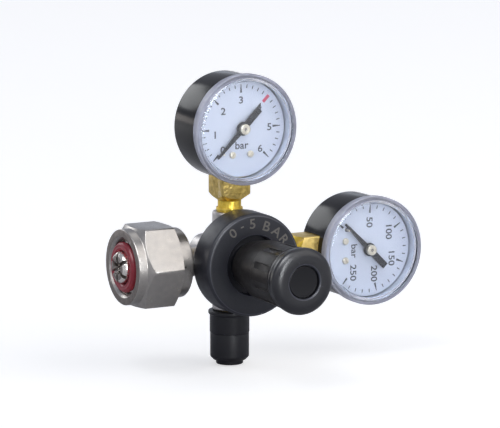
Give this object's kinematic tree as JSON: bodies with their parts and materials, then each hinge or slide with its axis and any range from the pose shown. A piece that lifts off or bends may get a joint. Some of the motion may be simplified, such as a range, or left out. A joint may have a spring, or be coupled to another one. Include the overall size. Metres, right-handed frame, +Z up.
{
  "type": "carbon dioxide regulator",
  "caption": "Gas pressure regulator with a hex inlet nut, round dial gauges, a fluted adjusting knob and a push-in tube outlet.",
  "frame": {"origin": "middle of the inlet nose's end face, which meets the cylinder valve", "axes": "+X along the inlet into the body, -Y towards the adjusting knob, +Z up towards the working-pressure gauge"},
  "size_m": [0.1241, 0.0817, 0.113],
  "materials": {
    "nickel_plate": "satin nickel plate over brass",
    "brass": "machined",
    "spring_steel": "drawn",
    "sintered_bronze": "porous",
    "black_moulding": "satin moulding",
    "black_gauge_paint": "gloss",
    "black_fitting": "satin",
    "black_rubber": "matt",
    "red_seal": "satin",
    "white_nylon": "satin",
    "white_dial": "satin",
    "clear_lens": "clear"
  },
  "bodies": {
    "housing": {"regulator_body": "nickel_plate", "inlet_stem": "nickel_plate", "inlet_nose": "nickel_plate", "inlet_filter": "sintered_bronze", "inlet_seal": "red_seal", "valve_seat": "white_nylon", "poppet_spring": "spring_steel", "valve_plug": "nickel_plate", "plug_seal": "black_rubber", "diaphragm": "black_rubber", "clamp_ring": "spring_steel", "bonnet": "black_moulding", "range_spring": "spring_steel", "outlet_adapter": "brass", "outlet_washer": "black_rubber", "outlet_body": "black_fitting", "tube_seal": "black_rubber", "grab_ring": "spring_steel", "low_case": "black_gauge_paint", "low_stem": "brass", "low_gauge_washer": "brass", "low_lens": "clear_lens", "low_dial": "white_dial", "low_dial_screw_left": "brass", "low_dial_screw_right": "brass", "low_stop_pin": "brass", "low_movement_frame": "brass", "low_bourdon_tube": "brass", "high_case": "black_gauge_paint", "high_stem": "brass", "high_gauge_washer": "brass", "high_lens": "clear_lens", "high_dial": "white_dial", "high_dial_screw_left": "brass", "high_dial_screw_right": "brass", "high_stop_pin": "brass", "high_movement_frame": "brass", "high_bourdon_tube": "brass"},
    "slip_ring": {"nut_slip_ring": "brass"},
    "nut": {"inlet_nut": "nickel_plate"},
    "pressure_plate": {"spring_plate": "brass"},
    "adjusting_knob": {"knob": "black_moulding", "knob_cap": "black_moulding", "knob_badge": "black_gauge_paint"},
    "valve": {"valve_poppet": "spring_steel", "diaphragm_plate": "brass"},
    "release_collet": {"collet": "black_fitting"},
    "low_hand": {"low_pointer": "black_gauge_paint", "low_pointer_hub": "nickel_plate", "low_pinion": "brass"},
    "low_sector_gear": {"low_sector": "brass"},
    "low_link_rod": {"low_link": "brass"},
    "high_hand": {"high_pointer": "black_gauge_paint", "high_pointer_hub": "nickel_plate", "high_pinion": "brass"},
    "high_sector_gear": {"high_sector": "brass"},
    "high_link_rod": {"high_link": "brass"}
  },
  "joints": [
    {"name": "nut_slide", "type": "slide", "parent": "housing", "child": "slip_ring", "axis": [-1, 0, 0], "range_m": [0, 0.0052]},
    {"name": "nut_turn", "type": "hinge", "parent": "slip_ring", "child": "nut", "pos_m": [0, 0, 0], "axis": [-1, 0, 0], "continuous": true},
    {"name": "knob_advance", "type": "slide", "parent": "housing", "child": "pressure_plate", "axis": [0, 1, 0], "range_m": [0, 0.0025], "deforming": ["range_spring"]},
    {"name": "knob_turn", "type": "hinge", "parent": "pressure_plate", "child": "adjusting_knob", "pos_m": [0.0478, 0, 0], "axis": [0, 1, 0], "range_deg": [0, 900]},
    {"name": "valve_lift", "type": "slide", "parent": "housing", "child": "valve", "axis": [0, 1, 0], "range_m": [0, 0.0008], "stiffness_N_per_m": 400, "springref_m": -0.0005, "deforming": ["diaphragm", "poppet_spring"]},
    {"name": "collet_push", "type": "slide", "parent": "housing", "child": "release_collet", "axis": [0, 0, 1], "range_m": [0, 0.0015]},
    {"name": "low_pointer_turn", "type": "hinge", "parent": "housing", "child": "low_hand", "pos_m": [0.0478, 0, 0.0508], "axis": [0, 1, 0], "range_deg": [0, 270], "stiffness_Nm_per_rad": 0.0002, "springref_deg": -28.65},
    {"name": "low_sector_turn", "type": "hinge", "parent": "housing", "child": "low_sector_gear", "pos_m": [0.05745, 0, 0.0427], "axis": [0, 1, 0], "range_deg": [-45, 0]},
    {"name": "low_link_turn", "type": "hinge", "parent": "low_sector_gear", "child": "low_link_rod", "pos_m": [0.06078, 0, 0.04132], "axis": [0, 1, 0], "range_deg": [0, 45], "deforming": ["low_bourdon_tube"]},
    {"name": "high_pointer_turn", "type": "hinge", "parent": "housing", "child": "high_hand", "pos_m": [0.103, 0, 0], "axis": [0, 1, 0], "range_deg": [0, 270], "stiffness_Nm_per_rad": 0.0002, "springref_deg": -28.65},
    {"name": "high_sector_turn", "type": "hinge", "parent": "housing", "child": "high_sector_gear", "pos_m": [0.0949, 0, -0.00965], "axis": [0, 1, 0], "range_deg": [-45, 0]},
    {"name": "high_link_turn", "type": "hinge", "parent": "high_sector_gear", "child": "high_link_rod", "pos_m": [0.09352, 0, -0.01298], "axis": [0, 1, 0], "range_deg": [0, 45], "deforming": ["high_bourdon_tube"]}
  ],
  "couplings": [
    {"joint": "knob_advance", "follows": "knob_turn", "m_per_rad": 0.00015915},
    {"joint": "low_sector_turn", "follows": "low_pointer_turn", "ratio": -0.16667},
    {"joint": "low_link_turn", "follows": "low_pointer_turn", "ratio": 0.16667},
    {"joint": "high_sector_turn", "follows": "high_pointer_turn", "ratio": -0.16667},
    {"joint": "high_link_turn", "follows": "high_pointer_turn", "ratio": 0.16667}
  ]
}
